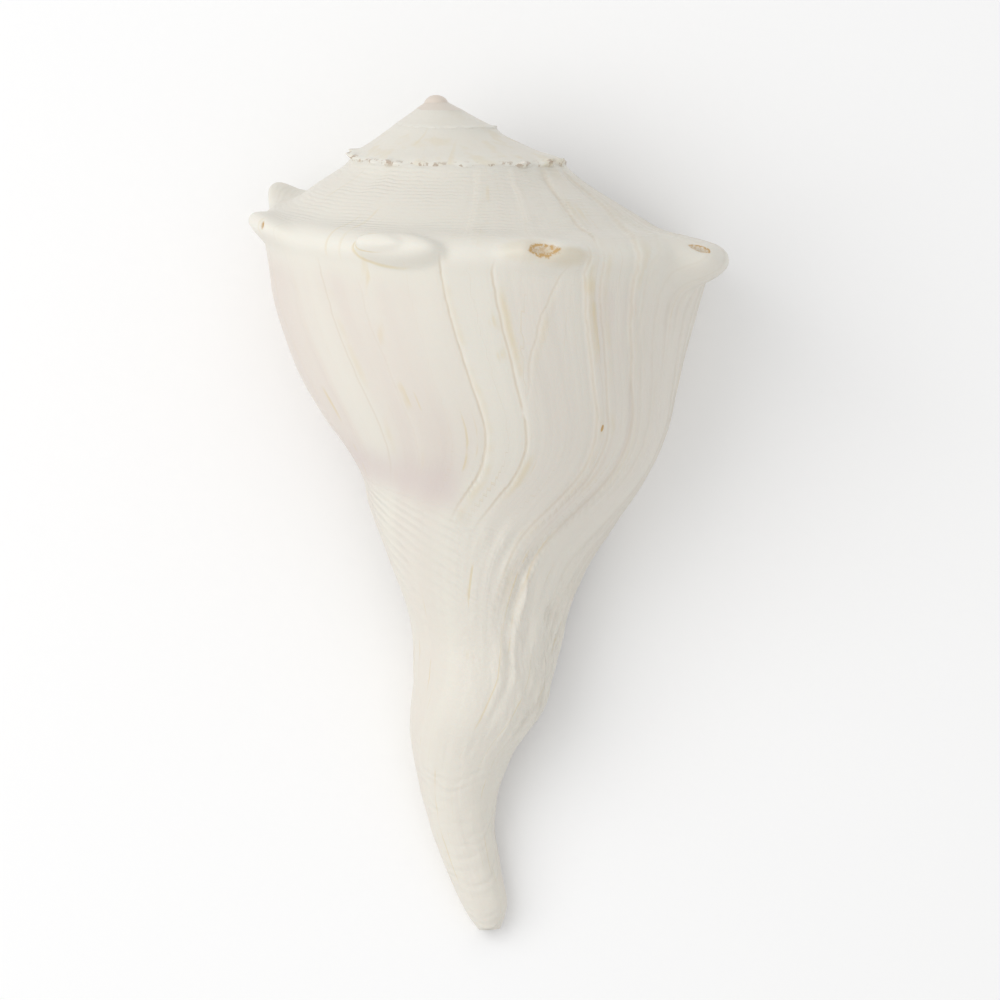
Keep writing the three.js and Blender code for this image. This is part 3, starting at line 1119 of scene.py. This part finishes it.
@dataclass
class Studio:
    """The floor and the soft lights. Sizes are in metres, and the lights shine on `target`."""

    floor_size: float = 6.0
    target: tuple[float, float, float] = (0.0, 0.02, 0.04)
    key_watts: float = 5.2
    fill_watts: float = 0.7
    sky: float = 0.70

    def build(self) -> None:
        """Makes the floor, the lights and the pale surroundings."""
        bpy.ops.mesh.primitive_plane_add(size=self.floor_size)
        floor = bpy.context.object
        floor.name = "floor"
        floor.data.materials.append(FloorFinish().material())
        self.lamp("key", (-0.75, 0.15, 0.88), 1.0, self.key_watts)
        self.lamp("fill", (0.0, -0.4, 1.2), 0.9, self.fill_watts)
        world = bpy.data.worlds.new("studio")
        bpy.context.scene.world = world
        world.use_nodes = True
        background = world.node_tree.nodes["Background"]
        background.inputs["Color"].default_value = (1, 1, 1, 1)
        background.inputs["Strength"].default_value = self.sky
        bpy.context.scene.view_settings.view_transform = "Standard"

    def lamp(self, name: str, place: tuple[float, float, float], size: float, watts: float) -> None:
        """Adds a square soft light that shines on the shell.

        Args:
            name: Name of the light.
            place: Where it stands, in metres.
            size: Width in metres.
            watts: Power.
        """
        light = bpy.data.lights.new(name, "AREA")
        light.energy, light.size = watts, size
        lamp = bpy.data.objects.new(name, light)
        lamp.location = place
        lamp.rotation_euler = (Vector(self.target) - Vector(place)).to_track_quat("-Z", "Y").to_euler()
        bpy.context.collection.objects.link(lamp)


@dataclass(frozen=True)
class Framing:
    """The camera that looks down on the shell's back.

    `elevation` and `lean` are its angle above the shell's side and its turn about the line of sight, in degrees.
    `distance` is from the apex's plane and `width` what it takes in there, in metres. `apex_right` and `apex_up` are
    where the apex stands from the middle of the view, in metres.
    """

    elevation: float = 4.5
    lean: float = 3.8
    distance: float = 4.0
    width: float = 0.238
    apex_right: float = -0.0155
    apex_up: float = 0.0964

    def build(self, pose: RestPose) -> None:
        """Makes the camera.

        Args:
            pose: How the shell lies.
        """
        tilt, roll = math.radians(self.elevation), math.radians(self.lean)
        ahead = np.array([0, math.cos(tilt), -math.sin(tilt)])
        above = np.array([0, math.sin(tilt), math.cos(tilt)])
        side = np.array([1.0, 0, 0])
        right = side * math.cos(roll) - above * math.sin(roll)
        above = above * math.cos(roll) + side * math.sin(roll)
        turn = pose.rotation()
        ahead, above, right = turn @ ahead, turn @ above, turn @ right
        apex = pose.place(np.zeros((1, 3)))[0] * MM
        middle = apex - right * self.apex_right - above * self.apex_up
        eye = middle - ahead * self.distance
        data = bpy.data.cameras.new("camera")
        data.sensor_width = 36.0
        data.lens = data.sensor_width * self.distance / self.width
        camera = bpy.data.objects.new("camera", data)
        axes = Matrix((right, above, -ahead)).transposed()
        camera.matrix_world = Matrix.Translation(Vector(eye)) @ axes.to_4x4()
        bpy.context.collection.objects.link(camera)
        bpy.context.scene.camera = camera


def main() -> None:
    """Builds the shell, its finish, the studio and the camera."""
    logging.basicConfig(level=logging.INFO, format="%(name)s: %(message)s")
    shell = WhelkShell()
    surface = shell.build()
    surface.data.materials.append(ShellFinish().material(coil_space_group()))
    surface.data.materials.append(GlazeFinish().material())
    shell.dress(surface)
    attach(surface, "root")
    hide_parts("whelk_shell")
    LOG.info("whelk_surface: %d faces", len(surface.data.polygons))
    Studio().build()
    Framing().build(shell.pose)
    LOG.info("floor, lights and camera in place")


if __name__ == "__main__":
    main()
